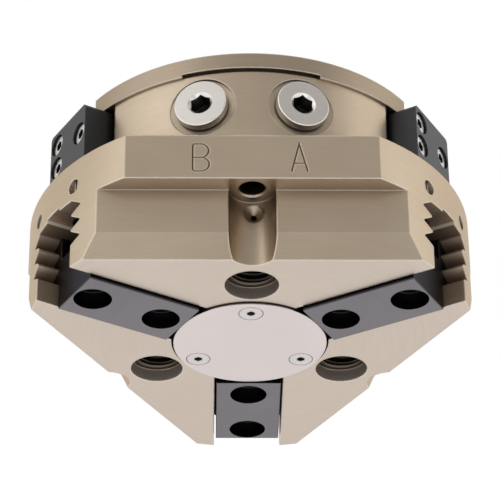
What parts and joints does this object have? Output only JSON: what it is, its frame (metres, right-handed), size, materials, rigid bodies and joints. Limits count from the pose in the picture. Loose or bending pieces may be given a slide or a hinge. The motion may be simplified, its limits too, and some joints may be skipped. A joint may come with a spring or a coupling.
{
  "type": "three jaw centric gripper",
  "caption": "Pneumatic centric gripper: a round body whose piston and wedge hook drive radial base jaws in sawtooth guides, with air ports, sensor brackets and a disc over the centre.",
  "frame": {"origin": "centre of the mounting face, which is the flat top of the cover", "axes": "+Z out of the mounting face, towards the robot; the jaws face -Z; jaw 1 slides along +Y, and the two air ports lie on the -Y side"},
  "size_m": [0.1186, 0.111, 0.0589],
  "materials": {
    "housing": "satin machined, hard coated in pale champagne",
    "cover": "satin turned, hard coated",
    "jaws": "ground and nitrided, dark grey with a blue tinge",
    "centre_cover": "fine ground, bright",
    "disc_screws": "plated",
    "port_plugs": "turned, nickel plated",
    "port_seals": "matt",
    "brackets": "black anodised, satin",
    "bracket_screws": "bright plated",
    "plated_screws": "plated, slightly dull",
    "dark_screws": "blackened",
    "hard_steel": "hardened and ground",
    "piston": "turned",
    "rubber": "matt black"
  },
  "bodies": {
    "body": {"housing": "housing", "cover": "cover", "cover_seal": "rubber", "cover_screws": "plated_screws", "rod_seal": "rubber", "centre_cover": "centre_cover", "centre_cover_screws": "disc_screws", "port_plug_a": "port_plugs", "port_plug_b": "port_plugs", "port_seal_a": "port_seals", "port_seal_b": "port_seals", "bracket_1": "brackets", "bracket_2": "brackets", "bracket_3": "brackets", "bracket_screws_1": "bracket_screws", "bracket_screws_2": "bracket_screws", "bracket_screws_3": "bracket_screws", "guide_plugs_1": "plated_screws", "guide_plugs_2": "plated_screws", "guide_plugs_3": "plated_screws"},
    "drive": {"piston": "piston", "piston_seal": "rubber", "piston_bolt": "dark_screws", "spigot_seal": "rubber", "wedge_hook": "hard_steel"},
    "jaw_1_body": {"jaw_1": "jaws"},
    "jaw_2_body": {"jaw_2": "jaws"},
    "jaw_3_body": {"jaw_3": "jaws"}
  },
  "joints": [
    {"name": "piston_slide", "type": "slide", "parent": "body", "child": "drive", "axis": [0, 0, -1], "range_m": [0, 0.008]},
    {"name": "jaw_1_slide", "type": "slide", "parent": "body", "child": "jaw_1_body", "axis": [0, 1, 0], "range_m": [0, 0.006]},
    {"name": "jaw_2_slide", "type": "slide", "parent": "body", "child": "jaw_2_body", "axis": [-0.866, -0.5, 0], "range_m": [0, 0.006]},
    {"name": "jaw_3_slide", "type": "slide", "parent": "body", "child": "jaw_3_body", "axis": [0.866, -0.5, 0], "range_m": [0, 0.006]}
  ],
  "couplings": [
    {"joint": "jaw_1_slide", "follows": "piston_slide", "ratio": 0.75},
    {"joint": "jaw_2_slide", "follows": "piston_slide", "ratio": 0.75},
    {"joint": "jaw_3_slide", "follows": "piston_slide", "ratio": 0.75}
  ]
}
